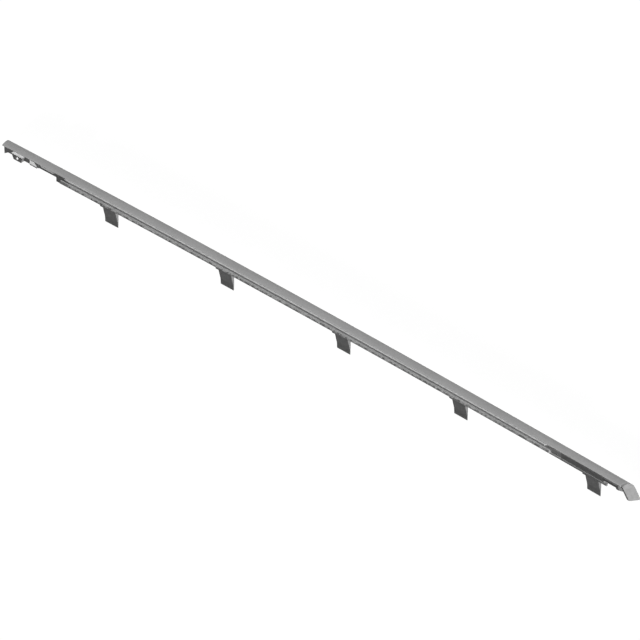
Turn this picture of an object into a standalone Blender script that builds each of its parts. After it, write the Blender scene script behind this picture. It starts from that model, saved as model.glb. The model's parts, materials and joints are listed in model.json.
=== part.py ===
"""Door belt sealing strip of a car: a cover moulding over a rubber seal, with clips and end pieces.

The sections are drawn in millimetres as the strip sits in the door: X runs rearward along the strip,
Y points outboard, away from the glass, and Z points up, with the crown at 0.
An empty then lays the finished strip on its flat outboard face, glass side up, as it lies on a bench.
"""

import math

import bmesh
import bpy
from mathutils import Matrix, Vector

MM = 0.001
OBJECT_NAME = "belt_sealing_strip"

# Whole strip: its length along the glass side, its arch and the room that fitted pieces leave
STRIP_LENGTH = 895.7
ARCH_RISE = 4.8
STATION_PITCH = 36.0
FIT_GAP = 0.3
SEAM_INSET = 0.15
ARC_STEP = math.radians(15.0)
EDGE_RADIUS = 0.4
FINE_RADIUS = 0.2

# Cover moulding: a folded sheet with a rounded nose on the glass side and a curled lower edge
COVER_WALL = 1.0
COVER_NOSE_Y = -2.2
COVER_NOSE_Z = -2.2
COVER_CROWN_Y = 2.5
COVER_CROWN_RADIUS = 9.5
COVER_FACE_Y = 8.6
COVER_BACK_Z = -0.6
COVER_BACK_RADIUS = 3.5
COVER_SKIRT = 14.4
COVER_CURL_REACH = 1.7
COVER_CURL_RADIUS = 1.4

# Rubber seal: a leg behind the door flange, a web under the cover and a heel on the skirt side
SEAL_START = 51.0
SEAL_LEG = 1.4
SEAL_WEB = 1.7
SEAL_HEEL = 1.4
SEAL_HEEL_DROP = 1.4
SEAL_FOOT_Z = -14.4

# Upper lip, which closes the gap beside the cover's nose
UPPER_LIP_REACH = 4.6
UPPER_LIP_SINK = 0.1
UPPER_LIP_TIP_Z = -2.65
UPPER_LIP_TIP = 1.2
UPPER_LIP_FOOT_Z = -5.6

# Lower lip, a flap that wipes the glass, and the bead behind it
LOWER_LIP_Z = -9.5
LOWER_LIP_SHOULDER = 1.3
LOWER_LIP_FALL = 0.3
LOWER_LIP_REACH = 2.6
LOWER_LIP_TIP_Z = -12.35
LOWER_LIP_WALL = 0.95
BEAD_REACH = 0.9
BEAD_TOP_Z = -12.0
BEAD_CORNER_Z = -13.95

# Grip fins on the leg, which hold the door flange
FIN_COUNT = 3
FIN_PITCH = 2.4
FIN_START = 1.8
FIN_REACH = 1.0
FIN_RISE = 1.0
FIN_ROOT = 0.8

# Trims of the seal, from the front end of the strip or back from its rear end
LIP_NOTCH_START = 75.0
LIP_NOTCH_LENGTH = 18.0
FOOT_START = 76.8
LOWER_LIP_START = 84.0
FOOT_TRIM_Z = -9.3
UPPER_LIP_SETBACK = 108.7
LOWER_LIP_SETBACK = 104.7
WALL_SETBACK = 28.7
BEAD_SETBACK = 24.5
TRIM_BITE = 0.1
TRIM_DROP = 1.0

# Retaining clips: a row at one pitch from the front, and a last one near the rear end
CLIP_FIRST = 154.2
CLIP_PITCH = 168.7
CLIP_ROW = 4
CLIP_LAST_SETBACK = 45.3
CLIP_WIDTH = 18.7
CLIP_DEPTH = 4.0
CLIP_LENGTH = 19.6
CLIP_HEAD_HEIGHT = 1.5
CLIP_TAB = 4.5
CLIP_BELLY_Y = 1.4
CLIP_BELLY_DROP = 6.5
CLIP_ANKLE_Y = 2.5
CLIP_ANKLE_DROP = 11.2
CLIP_TIP_Y = 2.7
CLIP_TIP_WALL = 0.6
CLIP_BACK_DROP = 6.0
CLIP_FRONT_RADIUS = 6.0
CLIP_BACK_RADIUS = 8.0
CLIP_STEM_WIDTH = 13.0
CLIP_STEM_RISE = 8.0
CLIP_STEM_ROOT = 1.0
CLIP_STEM_LEAD = 0.8

# Front end bracket: a channel inside the cover, with two shelves and a holed tab outside it
BRACKET_START = 0.6
BRACKET_WALL = 1.6
BRACKET_FOOT_Z = -10.3
BRACKET_TOP_CHAMFER = 0.8
TOOTH_LENGTH = 6.0
TOOTH_DROP = 3.4
TOOTH_ROOT = 1.0
SHELF_TOP_Z = -4.6
SHELF_WALL = 1.35
REAR_SHELF_START = 38.0
REAR_SHELF_LENGTH = 7.0
SHELF_END_SLANT = 8.7
TAB_REACH = 3.7
TAB_START = 14.7
TAB_LENGTH = 15.9
TAB_DROP = 6.2
TAB_TAPER_FRONT = 3.3
TAB_TAPER_REAR = 1.6
TAB_WALL = 1.3
TAB_HOLE = 3.4
TAB_HOLE_INSET = 8.6
TAB_HOLE_Z = -7.7
TAB_HOLE_SIDES = 24
TAB_WEB_HEIGHT = 3.4

# Rear end cap: a slanted plate, with a plug, a ribbed rail and a gusset towards the cover
CAP_DEPTH = 2.8
CAP_SIDE_SLANT = 0.537
CAP_DOWN_SLANT = 0.737
CAP_FRONT_FOOT_Z = -14.7
CAP_BACK_FOOT_Z = -15.4
CAP_CORNER = 2.0
CAP_PLUG_Y = 4.8
CAP_PLUG_FOOT_Z = -9.0
CAP_PLUG_SETBACK = 19.7
CAP_RAIL_REACH = 2.3
CAP_RAIL_WALL = 2.9
CAP_RIB_COUNT = 2
CAP_RIB_PITCH = 6.3
CAP_RIB_WALL = 1.4
CAP_RIB_RISE = 0.7
CAP_GUSSET_SETBACK = 10.2
CAP_GUSSET_WALL = 4.0
CAP_GUSSET_REACH = 1.2
CAP_GUSSET_FOOT_Z = -10.1
CAP_GUSSET_BACK_Z = -14.6


def arch(x):
    """Height of the strip's curved line over its highest station."""
    half = STRIP_LENGTH / 2
    return -ARCH_RISE * ((x - half) / half) ** 2


def arch_angle(x):
    """Turn about Y that follows the strip's curved line."""
    half = STRIP_LENGTH / 2
    return math.atan(2 * ARCH_RISE * (x - half) / half ** 2)


def rounded(corners):
    """Points of a closed outline whose corners, given as (a, b, radius), are rounded by arcs."""
    points = []
    for index, (a, b, radius) in enumerate(corners):
        corner = Vector((a, b))
        if radius == 0:
            points.append(corner)
            continue
        before = (Vector(corners[index - 1][:2]) - corner).normalized()
        after = (Vector(corners[(index + 1) % len(corners)][:2]) - corner).normalized()
        half_angle = before.angle(after) / 2
        reach = radius / math.tan(half_angle)
        middle = corner + (before + after).normalized() * radius / math.sin(half_angle)
        start = corner + before * reach - middle
        end = corner + after * reach - middle
        steps = max(1, math.ceil(start.angle(end) / ARC_STEP))
        points += [middle + radius * start.slerp(end, step / steps) for step in range(steps + 1)]
    return points


def offset(path, distance):
    """An open path moved sideways, to the right of the way it runs."""
    sides = []
    for here, there in zip(path, path[1:]):
        run = there - here
        sides.append(Vector((run.y, -run.x)).normalized())
    moved = []
    for point, before, after in zip(path, sides[:1] + sides, sides + sides[-1:]):
        mitre = (before + after).normalized()
        moved.append(point + mitre * distance / mitre.dot(after))
    return moved


def half_round(start, end):
    """Points of the half circle that rounds a sheet's edge, between its two corners."""
    middle = (start + end) / 2
    steps = math.ceil(math.pi / ARC_STEP)
    turns = [Matrix.Rotation(-math.pi * step / steps, 2) for step in range(1, steps)]
    return [middle + turn @ (start - middle) for turn in turns]


def cover_path():
    """Outer line of the cover moulding, from its nose over the crown to the curled lower edge."""
    corners = [
        (COVER_NOSE_Y, COVER_NOSE_Z, 0),
        (COVER_CROWN_Y, 0, COVER_CROWN_RADIUS),
        (COVER_FACE_Y, COVER_BACK_Z, COVER_BACK_RADIUS),
        (COVER_FACE_Y, -COVER_SKIRT, COVER_CURL_RADIUS),
        (COVER_FACE_Y - COVER_CURL_REACH, -COVER_SKIRT, 0),
    ]
    return rounded(corners)


def cover_outline():
    """Section of the cover moulding."""
    outer = cover_path()
    inner = offset(outer, COVER_WALL)
    return outer + inner[::-1] + half_round(inner[0], outer[0])


def core_roof(foot_z):
    """Line one fit gap inside the cover, from under its nose to a given height on the skirt side."""
    line = [point for point in offset(cover_path(), COVER_WALL + FIT_GAP) if point.y > foot_z]
    return line + [Vector((line[-1].x, foot_z))]


def slot_roof_z():
    """Height of the slot's roof, which the seal and the front bracket share."""
    return COVER_NOSE_Z - COVER_WALL - FIT_GAP - SEAL_WEB


def under_cover(wall, foot_z, flank):
    """Corners of a channel under the cover: the leg's foot and flank, the slot's roof, the heel, the top."""
    heel_z = slot_roof_z() - SEAL_HEEL_DROP
    roof = core_roof(heel_z)
    back = roof[-1].x
    corners = [(0.0, foot_z, FINE_RADIUS), (wall, foot_z, EDGE_RADIUS)] + flank
    corners += [
        (wall, slot_roof_z(), EDGE_RADIUS),
        (back - SEAL_HEEL, slot_roof_z(), EDGE_RADIUS),
        (back - SEAL_HEEL, heel_z, EDGE_RADIUS),
        (back, heel_z, EDGE_RADIUS),
    ]
    return corners + [(point.x, point.y, 0) for point in roof[-2::-1]]


def seal_outline():
    """Section of the rubber seal with both lips at full size."""
    nose = (offset(cover_path(), COVER_WALL / 2))[0]
    groove_y = nose.x - COVER_WALL / 2 - FIT_GAP
    groove_z = nose.y - COVER_WALL / 2 - FIT_GAP
    shoulder = Vector((-LOWER_LIP_SHOULDER, LOWER_LIP_Z - LOWER_LIP_FALL))
    tip = Vector((-LOWER_LIP_REACH, LOWER_LIP_TIP_Z))
    inner_shoulder, inner_tip = offset([shoulder, tip], -LOWER_LIP_WALL)
    fins = []
    for index in range(FIN_COUNT):
        fin_z = SEAL_FOOT_Z + FIN_START + FIN_PITCH * index
        fins.append((SEAL_LEG, fin_z, 0))
        fins.append((SEAL_LEG + FIN_REACH, fin_z + FIN_RISE, 0))
        fins.append((SEAL_LEG, fin_z + FIN_ROOT, 0))
    corners = under_cover(SEAL_LEG, SEAL_FOOT_Z, fins)
    corners += [
        (groove_y, groove_z, FINE_RADIUS),
        (groove_y, COVER_NOSE_Z - UPPER_LIP_SINK, FINE_RADIUS),
        (-UPPER_LIP_REACH, UPPER_LIP_TIP_Z, EDGE_RADIUS),
        (-UPPER_LIP_REACH, UPPER_LIP_TIP_Z - UPPER_LIP_TIP, EDGE_RADIUS),
        (0.0, UPPER_LIP_FOOT_Z, EDGE_RADIUS),
        (0.0, LOWER_LIP_Z, FINE_RADIUS),
        (shoulder.x, shoulder.y, EDGE_RADIUS),
        (tip.x, tip.y, EDGE_RADIUS),
        (inner_tip.x, inner_tip.y, EDGE_RADIUS),
        (inner_shoulder.x, inner_shoulder.y, FINE_RADIUS),
        (0.0, inner_shoulder.y, 0),
        (0.0, BEAD_TOP_Z, 0),
        (-BEAD_REACH, BEAD_TOP_Z, FINE_RADIUS),
        (-BEAD_REACH, BEAD_CORNER_Z, EDGE_RADIUS),
    ]
    return rounded(corners)


def bracket_outline():
    """Section of the front end bracket."""
    corners = under_cover(BRACKET_WALL, BRACKET_FOOT_Z, [])
    nose_z = corners[-1][1]
    return rounded(corners + [(0.0, nose_z - BRACKET_TOP_CHAMFER, 0)])


def cap_outline():
    """Section of the rear end cap's plate: the cover's outer line, closed at the foot."""
    corner_z = CAP_BACK_FOOT_Z + CAP_CORNER
    closing = [
        (COVER_FACE_Y, corner_z + CAP_CORNER, 0),
        (COVER_FACE_Y, CAP_BACK_FOOT_Z, CAP_CORNER),
        (COVER_NOSE_Y, CAP_FRONT_FOOT_Z, EDGE_RADIUS),
        (COVER_NOSE_Y, COVER_NOSE_Z, 0),
    ]
    return [point for point in cover_path() if point.y > corner_z + CAP_CORNER] + rounded(closing)[1:-1]


def clip_outline():
    """Side view of a clip below the seal: a wedge that thins towards its tip."""
    head_z = SEAL_FOOT_Z - FIT_GAP
    neck_z = head_z - CLIP_HEAD_HEIGHT
    tip_z = head_z - CLIP_LENGTH
    corners = [
        (0.0, head_z, 0),
        (0.0, neck_z, EDGE_RADIUS),
        (CLIP_BELLY_Y, neck_z - CLIP_BELLY_DROP, CLIP_FRONT_RADIUS),
        (CLIP_ANKLE_Y, neck_z - CLIP_ANKLE_DROP, CLIP_FRONT_RADIUS),
        (CLIP_TIP_Y, tip_z, FINE_RADIUS),
        (CLIP_TIP_Y + CLIP_TIP_WALL, tip_z, FINE_RADIUS),
        (CLIP_DEPTH, neck_z - CLIP_BACK_DROP, CLIP_BACK_RADIUS),
        (CLIP_DEPTH, head_z, 0),
    ]
    return rounded(corners)


def clip_places():
    """Stations of the retaining clips along the strip."""
    row = [CLIP_FIRST + CLIP_PITCH * index for index in range(CLIP_ROW)]
    return row + [STRIP_LENGTH - CLIP_LAST_SETBACK]


def stations(x_from, x_to):
    """Places along the strip where the swept sections stand."""
    steps = max(1, math.ceil((x_to - x_from) / STATION_PITCH))
    return [x_from + (x_to - x_from) * step / steps for step in range(steps + 1)]


def finished_mesh(name, bm):
    """Mesh in metres from a bmesh in millimetres, faced outwards and smooth apart from its edges."""
    bmesh.ops.recalc_face_normals(bm, faces=bm.faces)
    bmesh.ops.scale(bm, vec=(MM, MM, MM), verts=bm.verts)
    mesh = bpy.data.meshes.new(name)
    bm.to_mesh(mesh)
    bm.free()
    mesh.shade_smooth()
    mesh.set_sharp_from_angle(angle=math.radians(30.0))
    return mesh


def new_verts(grown):
    """The vertices among what an extrusion made."""
    return [item for item in grown if isinstance(item, bmesh.types.BMVert)]


def swept(outline, x_from, x_to):
    """Solid that carries one section along the arched line of the strip."""
    bm = bmesh.new()
    places = stations(x_from, x_to)
    height = arch(places[0])
    corners = [bm.verts.new((places[0], y, z + height)) for y, z in outline]
    first = [bm.edges.new(pair) for pair in zip(corners, corners[1:] + corners[:1])]
    ring = first
    for here, there in zip(places, places[1:]):
        grown = bmesh.ops.extrude_edge_only(bm, edges=ring)["geom"]
        ring = [item for item in grown if isinstance(item, bmesh.types.BMEdge)]
        step = Vector((there - here, 0, arch(there) - arch(here)))
        bmesh.ops.translate(bm, vec=step, verts=new_verts(grown))
    bmesh.ops.contextual_create(bm, geom=first)
    bmesh.ops.contextual_create(bm, geom=ring)
    return bm


def band(x_range, y_range, z_range):
    """Box that follows the arched line of the strip."""
    (y0, y1), (z0, z1) = y_range, z_range
    return swept([(y0, z0), (y1, z0), (y1, z1), (y0, z1)], *x_range)


def prism(outline, axis, low, high):
    """Straight solid from a flat outline: axis 0, 1 or 2 is the direction it is pushed along."""
    bm = bmesh.new()
    corners = []
    for a, b in outline:
        place = [a, b]
        place.insert(axis, low)
        corners.append(bm.verts.new(place))
    face = bm.faces.new(corners)
    grown = bmesh.ops.extrude_face_region(bm, geom=[face])["geom"]
    push = Vector((0, 0, 0))
    push[axis] = high - low
    bmesh.ops.translate(bm, vec=push, verts=new_verts(grown))
    return bm


def clear_scene():
    """Empty the file of objects and loose data."""
    for item in list(bpy.data.objects):
        bpy.data.objects.remove(item, do_unlink=True)
    for group in list(bpy.data.collections):
        bpy.data.collections.remove(group)
    for mesh in list(bpy.data.meshes):
        bpy.data.meshes.remove(mesh)


def material(name, grey, roughness):
    """Plain Principled material in a grey."""
    made = bpy.data.materials.new(name)
    made.use_nodes = True
    shader = made.node_tree.nodes["Principled BSDF"]
    shader.inputs["Base Color"].default_value = (grey, grey, grey, 1.0)
    shader.inputs["Roughness"].default_value = roughness
    return made


class Assembly:
    """The collections, the empty that lays the strip down, and the objects made so far."""

    def __init__(self):
        self.parts = bpy.data.collections.new(OBJECT_NAME)
        self.cutters = bpy.data.collections.new(OBJECT_NAME + "_cutters")
        for group in (self.parts, self.cutters):
            bpy.context.scene.collection.children.link(group)
        self.pose = bpy.data.objects.new("lying_pose", None)
        self.parts.objects.link(self.pose)

    def add(self, name, mesh, look, group=None):
        """One object for one piece, or for one Boolean tool when a collection is given."""
        piece = bpy.data.objects.new(name, mesh)
        if look:
            mesh.materials.clear()
            mesh.materials.append(look)
        (group or self.parts).objects.link(piece)
        piece.parent = self.pose
        return piece

    def shape(self, piece, name, bm, operation):
        """Join a solid to a piece, or cut it out, with a Boolean modifier."""
        tool = self.add(name, finished_mesh(name, bm), None, self.cutters)
        tool.hide_render = True
        tool.display_type = "WIRE"
        modifier = piece.modifiers.new(name, "BOOLEAN")
        modifier.operation = operation
        modifier.solver = "EXACT"
        modifier.object = tool

    def cut(self, piece, name, bm):
        """Cut a solid out of a piece."""
        self.shape(piece, piece.name + "_" + name, bm, "DIFFERENCE")

    def join(self, piece, name, bm):
        """Join a solid to a piece."""
        self.shape(piece, piece.name + "_" + name, bm, "UNION")

    def lay_down(self):
        """Turn the strip onto its outboard face and centre its footprint on the origin."""
        self.pose.rotation_euler.x = math.radians(-90.0)
        bpy.context.view_layer.update()
        depsgraph = bpy.context.evaluated_depsgraph_get()
        corners = []
        for piece in self.parts.objects:
            if piece.type == "MESH":
                seen = piece.evaluated_get(depsgraph)
                corners += [seen.matrix_world @ vertex.co for vertex in seen.data.vertices]
        low = [min(corner[axis] for corner in corners) for axis in range(3)]
        high = [max(corner[axis] for corner in corners) for axis in range(3)]
        self.pose.location = (-(low[0] + high[0]) / 2, -(low[1] + high[1]) / 2, -low[2])


def slanted_end(bm, setback, keep_front=True):
    """Cut a solid along the slanted rear plane, moved back along the strip by a setback."""
    nose = Vector((STRIP_LENGTH - setback, COVER_NOSE_Y, COVER_NOSE_Z + arch(STRIP_LENGTH)))
    normal = Vector((1, -CAP_SIDE_SLANT, CAP_DOWN_SLANT)).normalized()
    everything = list(bm.verts) + list(bm.edges) + list(bm.faces)
    cut = bmesh.ops.bisect_plane(bm, geom=everything, plane_co=nose, plane_no=normal,
                                 clear_outer=keep_front, clear_inner=not keep_front)
    rim = [item for item in cut["geom_cut"] if isinstance(item, bmesh.types.BMEdge)]
    bmesh.ops.contextual_create(bm, geom=rim)
    return bm


def past_end():
    """A station beyond the slanted plane at every height."""
    return STRIP_LENGTH + COVER_FACE_Y + COVER_SKIRT


def add_cover(assembly, look):
    """Folded cover moulding, cut off along the slant at the rear."""
    bm = slanted_end(swept(cover_outline(), 0.0, past_end()), CAP_DEPTH + FIT_GAP)
    assembly.add("reveal_moulding", finished_mesh("reveal_moulding", bm), look)


def add_seal(assembly, look):
    """Rubber seal: one extruded section with its lips and foot trimmed at both ends."""
    rear = STRIP_LENGTH - BEAD_SETBACK
    bm = swept(seal_outline(), SEAL_START, rear)
    seal = assembly.add("seal_strip", finished_mesh("seal_strip", bm), look)
    before = SEAL_START - FIT_GAP
    beyond = rear + FIT_GAP
    glass_side = -UPPER_LIP_REACH - FIT_GAP
    ceiling = 0.0
    below = SEAL_FOOT_Z - FIT_GAP
    everywhere = (glass_side, COVER_FACE_Y)
    lip_zone = (glass_side, TRIM_BITE)
    lip_heights = (UPPER_LIP_FOOT_Z - EDGE_RADIUS, ceiling)

    slant = SHELF_END_SLANT / UPPER_LIP_REACH
    mitre = [(before, TRIM_BITE), (SEAL_START, TRIM_BITE),
             (SEAL_START - slant * glass_side, glass_side), (before, glass_side)]
    rise = arch(SEAL_START)
    assembly.cut(seal, "front_mitre", prism(mitre, 2, lip_heights[0] + rise, lip_heights[1]))

    notch = (LIP_NOTCH_START, LIP_NOTCH_START + LIP_NOTCH_LENGTH)
    assembly.cut(seal, "upper_notch", band(notch, lip_zone, lip_heights))
    assembly.cut(seal, "upper_rear", band((STRIP_LENGTH - UPPER_LIP_SETBACK, beyond), lip_zone, lip_heights))
    assembly.cut(seal, "foot_front", band((before, FOOT_START), everywhere, (below, FOOT_TRIM_Z)))
    lower_lip = band((before, LOWER_LIP_START), lip_zone, (below, FOOT_TRIM_Z + TRIM_BITE))
    assembly.cut(seal, "lower_lip_front", lower_lip)

    flap_end = STRIP_LENGTH - LOWER_LIP_SETBACK
    flap_foot = BEAD_TOP_Z + FIT_GAP
    flap_root = band((flap_end, beyond), lip_zone, (flap_foot, UPPER_LIP_FOOT_Z - TRIM_DROP))
    assembly.cut(seal, "flap_root", flap_root)
    assembly.cut(seal, "flap_tip", band((flap_end, beyond), (glass_side, -BEAD_REACH - TRIM_BITE),
                                        (below, flap_foot + TRIM_BITE)))
    wall_end = STRIP_LENGTH - WALL_SETBACK
    assembly.cut(seal, "wall_rear", band((wall_end, beyond), everywhere, (BEAD_TOP_Z, ceiling)))


def add_clips(assembly, look):
    """Retaining clips that hang from the channel, one object each on a shared mesh."""
    half = CLIP_WIDTH / 2
    head_z = SEAL_FOOT_Z - FIT_GAP
    sample = assembly.add("clip_sample", finished_mesh("clip", prism(clip_outline(), 0, -half, half)), look)
    front, back = SEAM_INSET, CLIP_DEPTH - SEAM_INSET
    low, high = head_z - CLIP_HEAD_HEIGHT, head_z - SEAM_INSET
    tab = [(front, low), (back, low), (back, high), (front, high)]
    assembly.join(sample, "tab", prism(tab, 0, -half - CLIP_TAB, -half + SEAM_INSET))
    stem_y = SEAL_LEG + FIN_REACH + FIT_GAP
    stem_top = head_z + CLIP_STEM_RISE
    stem = [(stem_y, head_z - CLIP_STEM_ROOT), (back, head_z - CLIP_STEM_ROOT),
            (back, stem_top), (back - CLIP_STEM_LEAD / 2, stem_top), (stem_y, stem_top - CLIP_STEM_LEAD)]
    assembly.join(sample, "stem", prism(stem, 0, -CLIP_STEM_WIDTH / 2, CLIP_STEM_WIDTH / 2))
    bpy.context.view_layer.update()
    depsgraph = bpy.context.evaluated_depsgraph_get()
    mesh = bpy.data.meshes.new_from_object(sample.evaluated_get(depsgraph))
    mesh.name = "retaining_clip"
    for tool in [modifier.object for modifier in sample.modifiers]:
        bpy.data.objects.remove(tool)
    bpy.data.objects.remove(sample)
    for number, place in enumerate(clip_places(), start=1):
        clip = assembly.add("retaining_clip_%d" % number, mesh, look)
        clip.location = (place * MM, 0, arch(place) * MM)
        clip.rotation_euler.y = arch_angle(place)


def add_bracket(assembly, look):
    """Front end bracket, with its tooth, shelves and holed tab."""
    rise = arch(0.0)
    body = swept(bracket_outline(), BRACKET_START, SEAL_START - FIT_GAP)
    bracket = assembly.add("front_end_bracket", finished_mesh("front_end_bracket", body), look)
    foot = BRACKET_FOOT_Z + rise
    tooth = [(BRACKET_START, foot + TOOTH_ROOT), (BRACKET_START, foot - TOOTH_DROP),
             (TOOTH_LENGTH, foot), (TOOTH_LENGTH, foot + TOOTH_ROOT)]
    assembly.join(bracket, "tooth", prism(tooth, 1, SEAM_INSET, BRACKET_WALL - SEAM_INSET))

    root = BRACKET_WALL / 2
    shelf_z = (SHELF_TOP_Z - SHELF_WALL + rise, SHELF_TOP_Z + rise)
    rear_end = REAR_SHELF_START + REAR_SHELF_LENGTH
    slant = SHELF_END_SLANT / UPPER_LIP_REACH
    rear_shelf = [(REAR_SHELF_START - root, root), (rear_end - root * slant, root),
                  (rear_end + SHELF_END_SLANT, -UPPER_LIP_REACH),
                  (REAR_SHELF_START + UPPER_LIP_REACH, -UPPER_LIP_REACH)]
    assembly.join(bracket, "rear_shelf", prism(rear_shelf, 2, *shelf_z))

    tab_end = TAB_START + TAB_LENGTH
    shelf_front = -TAB_REACH + SEAM_INSET
    front_shelf = [(TAB_START, root), (tab_end, root), (tab_end, shelf_front), (TAB_START, shelf_front)]
    assembly.join(bracket, "front_shelf", prism(front_shelf, 2, *shelf_z))
    tab_top = SHELF_TOP_Z - SEAM_INSET + rise
    tab_foot = tab_top - TAB_DROP
    tab = [(TAB_START + SEAM_INSET, tab_top), (tab_end - SEAM_INSET, tab_top),
           (tab_end - TAB_TAPER_REAR, tab_foot), (TAB_START + TAB_TAPER_FRONT, tab_foot)]
    assembly.join(bracket, "tab", prism(tab, 1, -TAB_REACH, -TAB_REACH + TAB_WALL))
    web_end = tab_end - TAB_TAPER_REAR - SEAM_INSET
    web_top = tab_foot + TAB_WEB_HEIGHT
    web = [(-TAB_REACH + TAB_WALL / 2, tab_foot + SEAM_INSET), (root, tab_foot + SEAM_INSET),
           (root, web_top), (-TAB_REACH + TAB_WALL / 2, web_top)]
    assembly.join(bracket, "tab_web", prism(web, 0, web_end - TAB_WALL, web_end))

    hole_x = TAB_START + TAB_HOLE_INSET
    circle = []
    for side in range(TAB_HOLE_SIDES):
        angle = math.tau * side / TAB_HOLE_SIDES
        circle.append((hole_x + TAB_HOLE / 2 * math.cos(angle),
                       TAB_HOLE_Z + rise + TAB_HOLE / 2 * math.sin(angle)))
    hole = prism(circle, 1, -TAB_REACH - TAB_WALL, -TAB_REACH + 2 * TAB_WALL)
    assembly.cut(bracket, "tab_hole", hole)


def add_cap(assembly, look):
    """Rear end cap: a slanted plate that closes the section, and what holds it in the cover."""
    plate = slanted_end(swept(cap_outline(), STRIP_LENGTH - COVER_SKIRT, past_end()), 0.0)
    slanted_end(plate, CAP_DEPTH, keep_front=False)
    cap = assembly.add("rear_end_cap", finished_mesh("rear_end_cap", plate), look)
    inside_plate = CAP_DEPTH / 2

    roof = [point for point in core_roof(CAP_PLUG_FOOT_Z) if point.x > CAP_PLUG_Y]
    plug = roof + [(CAP_PLUG_Y, CAP_PLUG_FOOT_Z), (CAP_PLUG_Y, roof[0].y)]
    plug_body = swept(plug, STRIP_LENGTH - CAP_PLUG_SETBACK, past_end())
    assembly.join(cap, "plug", slanted_end(plug_body, inside_plate))

    rail_start = STRIP_LENGTH - WALL_SETBACK + FIT_GAP
    gusset_start = STRIP_LENGTH - CAP_GUSSET_SETBACK
    gusset_end = gusset_start + CAP_GUSSET_WALL
    anchor_y = CAP_PLUG_Y + FIT_GAP
    rail_z = (SHELF_TOP_Z - CAP_RAIL_WALL, SHELF_TOP_Z)
    rail = band((rail_start, gusset_end - SEAM_INSET), (-CAP_RAIL_REACH, anchor_y), rail_z)
    assembly.join(cap, "rail", rail)
    for index in range(CAP_RIB_COUNT):
        rib_start = rail_start + CAP_RIB_WALL + CAP_RIB_PITCH * index
        rib = band((rib_start, rib_start + CAP_RIB_WALL), (-CAP_RAIL_REACH + SEAM_INSET, 0.0),
                   (SHELF_TOP_Z - SEAM_INSET, SHELF_TOP_Z + CAP_RIB_RISE))
        assembly.join(cap, "rib_%d" % (index + 1), rib)
    gusset = [(-CAP_GUSSET_REACH, SHELF_TOP_Z + CAP_RIB_RISE), (-CAP_GUSSET_REACH, CAP_GUSSET_FOOT_Z),
              (anchor_y, CAP_GUSSET_BACK_Z), (anchor_y, SHELF_TOP_Z + CAP_RIB_RISE)]
    assembly.join(cap, "gusset", swept(gusset, gusset_start, gusset_end))


def build():
    """Make every piece and lay the strip down."""
    clear_scene()
    assembly = Assembly()
    satin = material("satin_grey_moulding", 0.33, 0.42)
    rubber = material("grey_rubber", 0.34, 0.8)
    clip_plastic = material("grey_clip_plastic", 0.27, 0.55)
    bracket_plastic = material("grey_bracket_plastic", 0.45, 0.55)
    cap_plastic = material("grey_cap_plastic", 0.33, 0.5)
    add_cover(assembly, satin)
    add_seal(assembly, rubber)
    add_clips(assembly, clip_plastic)
    add_bracket(assembly, bracket_plastic)
    add_cap(assembly, cap_plastic)
    assembly.lay_down()


build()
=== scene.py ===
"""Looks of the door belt sealing strip: finely edged pieces on the solids, their materials, the studio."""

import json
import math

import bmesh
import bpy
from mathutils import Matrix, Vector, noise
from mathutils.bvhtree import BVHTree

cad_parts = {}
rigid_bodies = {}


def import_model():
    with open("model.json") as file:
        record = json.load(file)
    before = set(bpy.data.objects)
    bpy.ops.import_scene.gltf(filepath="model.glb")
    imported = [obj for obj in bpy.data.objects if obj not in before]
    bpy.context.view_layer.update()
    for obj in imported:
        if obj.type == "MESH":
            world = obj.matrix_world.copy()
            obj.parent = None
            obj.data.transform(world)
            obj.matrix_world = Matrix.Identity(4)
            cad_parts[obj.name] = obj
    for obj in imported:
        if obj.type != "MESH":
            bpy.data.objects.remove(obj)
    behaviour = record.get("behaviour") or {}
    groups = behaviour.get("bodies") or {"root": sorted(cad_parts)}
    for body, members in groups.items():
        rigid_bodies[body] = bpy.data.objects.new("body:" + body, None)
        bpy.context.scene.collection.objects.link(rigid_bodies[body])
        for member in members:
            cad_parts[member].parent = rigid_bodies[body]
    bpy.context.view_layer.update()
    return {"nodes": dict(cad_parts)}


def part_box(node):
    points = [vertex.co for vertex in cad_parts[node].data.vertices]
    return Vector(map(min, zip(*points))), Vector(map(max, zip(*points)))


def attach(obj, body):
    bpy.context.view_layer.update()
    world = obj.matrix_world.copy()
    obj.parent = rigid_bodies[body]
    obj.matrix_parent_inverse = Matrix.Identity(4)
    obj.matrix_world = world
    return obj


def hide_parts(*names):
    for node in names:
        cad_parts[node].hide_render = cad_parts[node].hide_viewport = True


MM = 0.001

# Camera: an isometric view from the rear end, the crown and the glass side of the strip
VIEW_BACK = Vector((1, 1, 1))
VIEW_UP = Vector((-1, 2, -1))
VIEW_TURN = math.radians(-1.243)
VIEW_TARGET = Vector((2.0, 10.0, 8.6)) * MM
VIEW_SHIFT_RIGHT = 2.45 * MM
VIEW_SHIFT_UP = -1.05 * MM
VIEW_HALF_ANGLE = math.radians(0.65)
VIEW_HALF_WIDTH = 326.6 * MM
VIEW_NEAR = 1.0
VIEW_FAR = 400.0
SENSOR_WIDTH = 36.0

# Studio
FLOOR_SIZE = 400.0
FLOOR_GAP = 0.05 * MM
FLOOR_GREY = 0.8
FLOOR_GLOW = 0.85
WORLD_GREY = 0.06
WHITE = (1.0, 1.0, 1.0, 1.0)
KEY_DIRECTION = Vector((0.80, 0.59, 0.09))
KEY_STRENGTH = 4.0
FILL_DIRECTION = Vector((-0.62, -0.78, 0.09))
FILL_STRENGTH = 2.0
LAMP_SPREAD = math.radians(8.0)

# Pieces: the rise of the strip's arch from its ends to its middle, and the number of clips
ARCH_RISE = 4.8 * MM
CLIP_COUNT = 5

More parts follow.
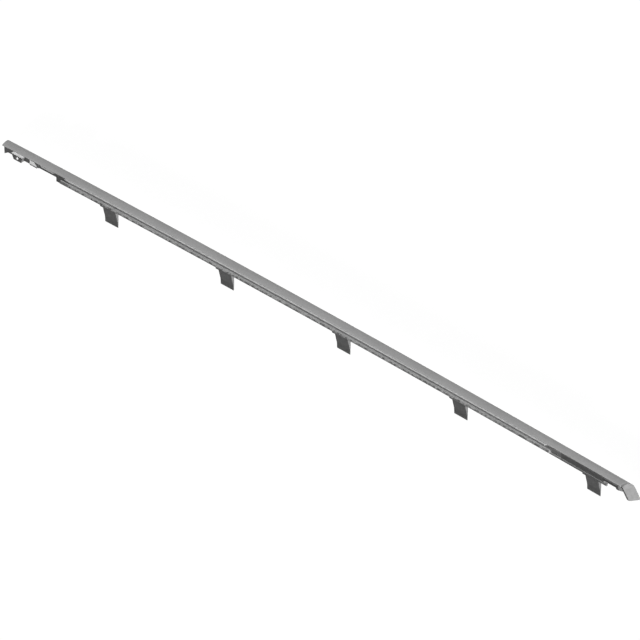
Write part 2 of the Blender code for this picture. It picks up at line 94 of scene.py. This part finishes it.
# Meshes: what counts as one point, one face or a sharp edge, and the form and shading of softened edges
WELD_DISTANCE = 0.001 * MM
FLAT_ANGLE = math.radians(0.02)
SHARP_ANGLE = math.radians(32.0)
CLIP_EDGE = 0.25 * MM
CAP_EDGE = 0.3 * MM
EDGE_STEPS = 2
LARGE_FACE_WEIGHT = 100

# All looks: the middle of a noise, where most of its values lie, and the length of a change along the strip
NOISE_LOW = 0.3
NOISE_HIGH = 0.7
END_BLEND = 2.0 * MM

# Upward part of a face's normal at which a face starts to count as a top, and from which it is one
UPWARD = (0.45, 0.8)

# Cover: brightness from its outboard side to its glass side and on its nose, painted light that makes it
# paler towards the glass, and where these change
COVER_GREY_AND_PAINTED_LIGHT = (0.28, 0.38)
COVER_NOSE_PAINTED_LIGHT = 0.5
COVER_PAINTED_LIGHT_FROM = 3.5 * MM
COVER_PAINTED_LIGHT_TO = 10.0 * MM
COVER_NOSE = 10.7 * MM
COVER_ROUGHNESS = (0.40, 0.52)
COVER_STREAK = 0.5 * MM
COVER_STREAK_SHARE = 0.06
COVER_GRAIN = 1.2 * MM
COVER_GRAIN_SHARE = 0.05
COVER_GRAIN_RANGE = (0.4, 0.6)
COVER_CLOUD = 14.0 * MM
COVER_CLOUD_SHARE = 0.04
COVER_RELIEF = 0.35 * MM
COVER_RELIEF_DEPTH = 0.01 * MM

# Seal: brightness of its sides, lifted by painted light, of its tops, and of its front end, darkened by
# painted shade, and the share that its rear end keeps under painted shade
SEAL_SIDE_PAINTED_LIGHT_GREY = 0.52
SEAL_TOP_GREY = 0.33
FRONT_END_PAINTED_SHADE_GREY = 0.22
REAR_END_PAINTED_SHADE_SHARE = 0.62
SEAL_ROUGHNESS = (0.66, 0.82)
DIE_LINE = 0.4 * MM
DIE_LINE_SHARE = 0.05
SEAL_MOTTLE = 2.2 * MM
SEAL_MOTTLE_SHARE = 0.16
SEAL_RELIEF = 0.3 * MM
SEAL_RELIEF_DEPTH = 0.03 * MM

# Painted highlight on the upper lip: the height of the lip's root, and the highlight's brightness on the
# lip's edge, on its top, and on its top before the flock
LIP_ROOT_HEIGHT = 11.3 * MM
LIP_BLEND = 0.2 * MM
LIP_EDGE_PAINTED_HIGHLIGHT = 0.46
LIP_TOP_PAINTED_HIGHLIGHT = 0.51
LIP_FRONT_PAINTED_HIGHLIGHT = 0.38

# Flock on the outer face of the lower lip: its distance from both ends, its place below the crown,
# its layer, and the height from which the lip's face is sought
FLOCK_START = 97.0 * MM
FLOCK_REAR_SETBACK = 105.4 * MM
FLOCK_TOP = 10.0 * MM
FLOCK_FOOT = 12.1 * MM
FLOCK_STEP = 0.7 * MM
FLOCK_ROWS = 7
FLOCK_THICKNESS = 0.16 * MM
FLOCK_LUMP = 0.16 * MM
FLOCK_LUMP_SIZE = 1.5 * MM
FLOCK_RIM_ANGLE = math.radians(90.0)
FLOCK_SOUGHT_FROM = 1.0

# Fibres of the flock: brightness from dark tufts to pale ones, and the part of the noise between the two
FLOCK_GREY = (0.165, 0.475)
FLOCK_TUFT_RANGE = (0.38, 0.62)
FLOCK_ROUGHNESS = (0.85, 1.0)
FLOCK_TUFT = 3.0 * MM
FLOCK_FIBRE = 0.16 * MM
FLOCK_FIBRE_SHARE = 0.2
FLOCK_RELIEF_DEPTH = 0.12 * MM

# Plastics: the factor of painted light on the bracket's upward faces, the share of brightness that the cap's
# rail keeps under painted shade, and the shares by which the flow marks and the grain vary it
CLIP_GREY = 0.25
BRACKET_GREY = 0.26
BRACKET_TOP_PAINTED_LIGHT = 2.7
CAP_GREY = 0.28
CAP_FACE_SETBACK = 20.0 * MM
CAP_RAIL_PAINTED_SHADE_SHARE = 0.55
PLASTIC_ROUGHNESS = (0.48, 0.62)
FLOW_MARK = 3.5 * MM
FLOW_SHARE = 0.12
CLIP_GRAIN = 0.5 * MM
END_PIECE_GRAIN = 0.4 * MM
PLASTIC_GRAIN_SHARE = 0.06
PLASTIC_RELIEF_DEPTH = 0.03 * MM


class Nodes:
    """The nodes of a material or of the world, and the sums that tie them together."""

    def __init__(self, owner):
        owner.use_nodes = True
        self.nodes = owner.node_tree.nodes
        self.links = owner.node_tree.links

    def spread(self, value, low, high, start=NOISE_LOW, end=NOISE_HIGH):
        """A value's range, by default the middle of a noise, drawn out between two numbers or patterns."""
        scale = self.nodes.new("ShaderNodeMapRange")
        scale.inputs["From Min"].default_value = start
        scale.inputs["From Max"].default_value = end
        for name, limit in (("To Min", low), ("To Max", high)):
            if isinstance(limit, bpy.types.NodeSocket):
                self.links.new(limit, scale.inputs[name])
            else:
                scale.inputs[name].default_value = limit
        self.links.new(value, scale.inputs["Value"])
        return scale.outputs["Result"]

    def joined(self, one, other, operation="MULTIPLY"):
        """Two values put together."""
        maths = self.nodes.new("ShaderNodeMath")
        maths.operation = operation
        self.links.new(one, maths.inputs[0])
        self.links.new(other, maths.inputs[1])
        return maths.outputs["Value"]

    def seen_directly(self):
        """1 for what the camera sees, also mirrored or through glass, and 0 for what lights the object."""
        path = self.nodes.new("ShaderNodeLightPath")
        total = path.outputs["Is Camera Ray"]
        for name in ("Is Glossy Ray", "Is Transmission Ray"):
            total = self.joined(total, path.outputs[name], "MAXIMUM")
        return total


class Look(Nodes):
    """A Principled material, and the patterns that feed it."""

    def __init__(self, name, shine):
        self.material = bpy.data.materials.new(name)
        super().__init__(self.material)
        self.shader = self.nodes["Principled BSDF"]
        self.shader.inputs["Specular IOR Level"].default_value = shine
        self.place = self.nodes.new("ShaderNodeTexCoord")

    def pattern(self, grain, stretch=1.0, detail=4.0):
        """Noise with a grain of a given size in metres, drawn out along the strip by a factor."""
        mapping = self.nodes.new("ShaderNodeMapping")
        mapping.inputs["Scale"].default_value = (1 / (grain * stretch), 1 / grain, 1 / grain)
        self.links.new(self.place.outputs["Object"], mapping.inputs["Vector"])
        texture = self.nodes.new("ShaderNodeTexNoise")
        texture.inputs["Scale"].default_value = 1.0
        texture.inputs["Detail"].default_value = detail
        self.links.new(mapping.outputs["Vector"], texture.inputs["Vector"])
        return texture.outputs["Fac"]

    def along(self, axis, output="Object"):
        """Place on the piece, or its normal there, along an axis."""
        parts = self.nodes.new("ShaderNodeSeparateXYZ")
        self.links.new(self.place.outputs[output], parts.inputs["Vector"])
        return parts.outputs[axis]

    def varied(self, pattern, share, start=NOISE_LOW, end=NOISE_HIGH):
        """A factor about 1 that a pattern moves up and down by a share."""
        return self.spread(pattern, 1 - share, 1 + share, start, end)

    def grey(self, value):
        """Use a pattern as the brightness of the surface."""
        colour = self.nodes.new("ShaderNodeCombineColor")
        for channel in ("Red", "Green", "Blue"):
            self.links.new(value, colour.inputs[channel])
        self.links.new(colour.outputs["Color"], self.shader.inputs["Base Color"])

    def rough(self, pattern, roughness):
        """Use a pattern as the roughness of the surface, between two values."""
        self.links.new(self.spread(pattern, *roughness), self.shader.inputs["Roughness"])

    def bump(self, pattern, depth):
        """Use a pattern as fine relief of a given depth in metres."""
        relief = self.nodes.new("ShaderNodeBump")
        relief.inputs["Strength"].default_value = 1.0
        relief.inputs["Distance"].default_value = depth
        self.links.new(pattern, relief.inputs["Height"])
        self.links.new(relief.outputs["Normal"], self.shader.inputs["Normal"])


def satin_moulding():
    """Satin grey cover: faint streaks along the strip over a fine grain, and painted light that makes it
    paler towards its nose.
    """
    look = Look("satin_moulding", shine=0.12)
    streaks = look.pattern(COVER_STREAK, stretch=120.0)
    clouds = look.pattern(COVER_CLOUD, stretch=4.0, detail=3.0)
    grains = look.pattern(COVER_GRAIN, detail=3.0)
    streaked = look.varied(streaks, COVER_STREAK_SHARE)
    grained = look.varied(grains, COVER_GRAIN_SHARE, *COVER_GRAIN_RANGE)
    fine = look.joined(look.joined(streaked, grained), look.varied(clouds, COVER_CLOUD_SHARE))
    # Painted light: the grey rises towards the glass side and again on the nose, lifting the nose's shade.
    height = look.along("Z")
    painted_nose_light = look.spread(height, 0.0, COVER_NOSE_PAINTED_LIGHT, COVER_PAINTED_LIGHT_TO, COVER_NOSE)
    tone = look.joined(look.spread(height, *COVER_GREY_AND_PAINTED_LIGHT, COVER_PAINTED_LIGHT_FROM, COVER_PAINTED_LIGHT_TO), painted_nose_light, "MAXIMUM")
    look.grey(look.joined(fine, tone))
    look.rough(streaks, COVER_ROUGHNESS)
    look.bump(look.pattern(COVER_RELIEF, stretch=3.0), COVER_RELIEF_DEPTH)
    return look.material


def rubber(bare_before, bare_after):
    """Matt seal rubber with die lines, painted light on its sides, painted shade towards its ends, and a
    painted highlight on the upper lip.

    Before the flock, the painted highlight is fainter and only on the lip's upper face.
    """
    look = Look("seal_rubber", shine=0.15)
    lines = look.pattern(DIE_LINE, stretch=80.0)
    mottle = look.pattern(SEAL_MOTTLE, stretch=1.5)
    place = look.along("X")
    upward = look.along("Y", "Normal")
    front_end = (bare_before - END_BLEND, bare_before)
    rear_end = (bare_after, bare_after + END_BLEND)
    # Painted light makes the seal's sides paler than its tops; towards both ends painted shade darkens it.
    painted_light_sides = look.spread(place, FRONT_END_PAINTED_SHADE_GREY, SEAL_SIDE_PAINTED_LIGHT_GREY, *front_end)
    rear = look.spread(place, 1.0, REAR_END_PAINTED_SHADE_SHARE, *rear_end)
    side_light_and_end_shade = look.joined(look.spread(upward, painted_light_sides, SEAL_TOP_GREY, *UPWARD), rear)
    # Painted highlight: the upper lip above its root is made paler, most on its upward faces.
    painted_edge_highlight = look.spread(place, 0.0, LIP_EDGE_PAINTED_HIGHLIGHT, *front_end)
    painted_top_highlight = look.spread(place, LIP_FRONT_PAINTED_HIGHLIGHT, LIP_TOP_PAINTED_HIGHLIGHT, *front_end)
    painted_lip_highlight = look.spread(upward, painted_edge_highlight, painted_top_highlight, *UPWARD)
    lip = look.spread(look.along("Z"), 0.0, painted_lip_highlight, LIP_ROOT_HEIGHT, LIP_ROOT_HEIGHT + LIP_BLEND)
    fine = look.joined(look.varied(lines, DIE_LINE_SHARE), look.varied(mottle, SEAL_MOTTLE_SHARE))
    look.grey(look.joined(fine, look.joined(side_light_and_end_shade, lip, "MAXIMUM")))
    look.rough(mottle, SEAL_ROUGHNESS)
    look.bump(look.joined(lines, look.pattern(SEAL_RELIEF), "ADD"), SEAL_RELIEF_DEPTH)
    return look.material


def flocking():
    """Short fibres on the lip, which take the light unevenly in small tufts."""
    look = Look("lip_flocking", shine=0.1)
    tufts = look.pattern(FLOCK_TUFT, detail=1.0)
    fibres = look.pattern(FLOCK_FIBRE, detail=3.0)
    tone = look.spread(tufts, *FLOCK_GREY, *FLOCK_TUFT_RANGE)
    look.grey(look.joined(tone, look.varied(fibres, FLOCK_FIBRE_SHARE)))
    look.rough(fibres, FLOCK_ROUGHNESS)
    look.bump(fibres, FLOCK_RELIEF_DEPTH)
    return look.material


def moulded_plastic(name, grey, grain, painted_top_light=1.0, painted_shade_before=None):
    """Moulded plastic with an eroded grain and slight flow marks, and painted light that makes its upward
    faces paler by a factor.

    It can be darker before a place along the strip, as painted shade.
    """
    look = Look(name, shine=0.15)
    flow = look.pattern(FLOW_MARK)
    fine = look.pattern(grain)
    plain = look.spread(flow, grey * (1 - FLOW_SHARE), grey * (1 + FLOW_SHARE))
    # Painted light: upward faces are made paler by the factor.
    painted_light_tops = look.spread(look.along("Y", "Normal"), 1.0, painted_top_light, *UPWARD)
    tone = look.joined(look.joined(plain, look.varied(fine, PLASTIC_GRAIN_SHARE)), painted_light_tops)
    # Painted shade: darker before the given place, where the cap's rail sits under the cover.
    if painted_shade_before is not None:
        painted_rail_shade = look.spread(look.along("X"), CAP_RAIL_PAINTED_SHADE_SHARE, 1.0, painted_shade_before - END_BLEND, painted_shade_before)
        tone = look.joined(tone, painted_rail_shade)
    look.grey(tone)
    look.rough(fine, PLASTIC_ROUGHNESS)
    look.bump(fine, PLASTIC_RELIEF_DEPTH)
    return look.material


def made(name, bm, material):
    """An object of a given form and material in the scene."""
    mesh = bpy.data.meshes.new(name)
    bm.to_mesh(mesh)
    bm.free()
    mesh.materials.append(material)
    item = bpy.data.objects.new(name, mesh)
    bpy.context.scene.collection.objects.link(item)
    return item


def refined(frame, node_name, material, edge_width=0.0):
    """Add a piece with the form of a solid, its sharp edges softened and its curves shaded smooth."""
    bm = bmesh.new()
    bm.from_mesh(frame["nodes"][node_name].data)
    bmesh.ops.remove_doubles(bm, verts=bm.verts, dist=WELD_DISTANCE)
    bmesh.ops.dissolve_limit(bm, angle_limit=FLAT_ANGLE, verts=bm.verts, edges=bm.edges)
    if edge_width:
        sharp = [edge for edge in bm.edges if edge.calc_face_angle(0.0) > SHARP_ANGLE]
        bmesh.ops.bevel(bm, geom=sharp, offset=edge_width, segments=EDGE_STEPS, profile=0.5,
                        affect="EDGES", clamp_overlap=True)
    for face in bm.faces:
        face.smooth = True
    for edge in bm.edges:
        edge.smooth = edge.calc_face_angle(0.0) < SHARP_ANGLE
    piece = made(node_name + "_finish", bm, material)
    loaded_normals = piece.data.attributes.get("custom_normal")
    if loaded_normals:
        piece.data.attributes.remove(loaded_normals)
    shading = piece.modifiers.new("even_shading", "WEIGHTED_NORMAL")
    shading.weight = LARGE_FACE_WEIGHT
    shading.keep_sharp = True
    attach(piece, "root")
    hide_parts(node_name)


def arch(x, half):
    """Height of the strip's curved line against its middle, at a place along it."""
    return -ARCH_RISE * (x / half) ** 2


def flock_ends():
    """Places along the strip where the flock starts and stops."""
    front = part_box("reveal_moulding")[0].x
    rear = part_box("rear_end_cap")[1].x
    return front + FLOCK_START, rear - FLOCK_REAR_SETBACK


def add_flock(frame, material):
    """A lumpy closed layer of flock on the outer face of the lower lip, with its underside in the lip."""
    low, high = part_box("reveal_moulding")
    half = (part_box("rear_end_cap")[1].x - low.x) / 2
    seal = frame["nodes"]["seal_strip"].data
    surface = BVHTree.FromPolygons([vertex.co for vertex in seal.vertices],
                                   [face.vertices for face in seal.polygons])
    start, stop = flock_ends()
    columns = math.ceil((stop - start) / FLOCK_STEP)
    bm = bmesh.new()
    sheet = []
    for column in range(columns + 1):
        x = start + (stop - start) * column / columns
        line = []
        for row in range(FLOCK_ROWS + 1):
            drop = FLOCK_TOP + (FLOCK_FOOT - FLOCK_TOP) * row / FLOCK_ROWS
            above = Vector((x, high.y + arch(x, half) - drop, FLOCK_SOUGHT_FROM))
            place, normal, _, _ = surface.ray_cast(above, Vector((0, 0, -1)))
            under = bm.verts.new(place - normal * FLOCK_THICKNESS)
            over = under
            if 0 < column < columns and 0 < row < FLOCK_ROWS:
                lift = FLOCK_THICKNESS + FLOCK_LUMP * noise.noise(place / FLOCK_LUMP_SIZE)
                over = bm.verts.new(place + normal * lift)
            line.append((over, under))
        sheet.append(line)
    for here, there in zip(sheet, sheet[1:]):
        for row in range(FLOCK_ROWS):
            corners = (here[row], there[row], there[row + 1], here[row + 1])
            bm.faces.new([over for over, _ in corners])
            bm.faces.new([under for _, under in reversed(corners)])
    bmesh.ops.recalc_face_normals(bm, faces=bm.faces)
    for face in bm.faces:
        face.smooth = True
    for edge in bm.edges:
        edge.smooth = edge.calc_face_angle() < FLOCK_RIM_ANGLE
    piece = made("lip_flocking", bm, material)
    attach(piece, "root")


def add_floor():
    """Pale floor that shows white to the camera and keeps the object's shadow."""
    pale = bpy.data.materials.new("pale_floor")
    look = Nodes(pale)
    shader = look.nodes["Principled BSDF"]
    shader.inputs["Base Color"].default_value = (FLOOR_GREY, FLOOR_GREY, FLOOR_GREY, 1.0)
    shader.inputs["Roughness"].default_value = 1.0
    shader.inputs["Specular IOR Level"].default_value = 0.0
    shader.inputs["Emission Color"].default_value = WHITE
    glow = look.spread(look.seen_directly(), 0.0, FLOOR_GLOW, start=0.0, end=1.0)
    look.links.new(glow, shader.inputs["Emission Strength"])
    bm = bmesh.new()
    bmesh.ops.create_grid(bm, x_segments=1, y_segments=1, size=FLOOR_SIZE / 2)
    floor = made("floor", bm, pale)
    floor.location.z = -FLOOR_GAP


def add_world():
    """Dim even light from all round, which shows white behind the floor."""
    world = bpy.data.worlds.new("studio")
    bpy.context.scene.world = world
    look = Nodes(world)
    background = look.nodes["Background"]
    background.inputs["Color"].default_value = WHITE
    strength = look.spread(look.seen_directly(), WORLD_GREY, 1.0, start=0.0, end=1.0)
    look.links.new(strength, background.inputs["Strength"])


def add_lamp(name, direction, strength, shadow, mirrored):
    """Wide soft lamp far away in a direction."""
    light = bpy.data.lights.new(name, "SUN")
    light.energy = strength
    light.angle = LAMP_SPREAD
    light.use_shadow = shadow
    lamp = bpy.data.objects.new(name, light)
    lamp.rotation_mode = "QUATERNION"
    lamp.rotation_quaternion = direction.to_track_quat("Z", "Y")
    lamp.visible_glossy = mirrored
    bpy.context.scene.collection.objects.link(lamp)


def add_camera():
    """Camera at the photograph's angle, far away behind a long lens, as the picture has no perspective."""
    camera = bpy.data.objects.new("camera", bpy.data.cameras.new("camera"))
    back = VIEW_BACK.normalized()
    up = VIEW_UP.normalized()
    axes = Matrix((up.cross(back), up, back)).transposed()
    turned = Matrix.Rotation(VIEW_TURN, 3, "Z") @ axes
    shift = Vector((VIEW_SHIFT_RIGHT, VIEW_SHIFT_UP, VIEW_HALF_WIDTH / math.tan(VIEW_HALF_ANGLE)))
    camera.matrix_world = Matrix.Translation(VIEW_TARGET + turned @ shift) @ turned.to_4x4()
    camera.data.sensor_width = SENSOR_WIDTH
    camera.data.lens = SENSOR_WIDTH / 2 / math.tan(VIEW_HALF_ANGLE)
    camera.data.clip_start = VIEW_NEAR
    camera.data.clip_end = VIEW_FAR
    bpy.context.scene.collection.objects.link(camera)
    bpy.context.scene.camera = camera


def clear_scene():
    """Empty the file of its objects."""
    for item in list(bpy.data.objects):
        bpy.data.objects.remove(item, do_unlink=True)


clear_scene()
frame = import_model()

refined(frame, "reveal_moulding", satin_moulding())
refined(frame, "seal_strip", rubber(*flock_ends()))
add_flock(frame, flocking())
clip_look = moulded_plastic("clip_plastic", CLIP_GREY, CLIP_GRAIN)
for number in range(1, CLIP_COUNT + 1):
    refined(frame, "retaining_clip_%d" % number, clip_look, CLIP_EDGE)
# The bracket's upward faces get painted light.
bracket_look = moulded_plastic("bracket_plastic", BRACKET_GREY, END_PIECE_GRAIN, painted_top_light=BRACKET_TOP_PAINTED_LIGHT)
refined(frame, "front_end_bracket", bracket_look)
# Painted shade on the cap's rail, in front of the cap's face.
cap_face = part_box("rear_end_cap")[1].x - CAP_FACE_SETBACK
cap_look = moulded_plastic("cap_plastic", CAP_GREY, END_PIECE_GRAIN, painted_shade_before=cap_face)
refined(frame, "rear_end_cap", cap_look, CAP_EDGE)

add_floor()
add_world()
add_lamp("key", KEY_DIRECTION, KEY_STRENGTH, shadow=False, mirrored=True)
add_lamp("fill", FILL_DIRECTION, FILL_STRENGTH, shadow=True, mirrored=False)
add_camera()
bpy.context.scene.view_settings.view_transform = "Standard"
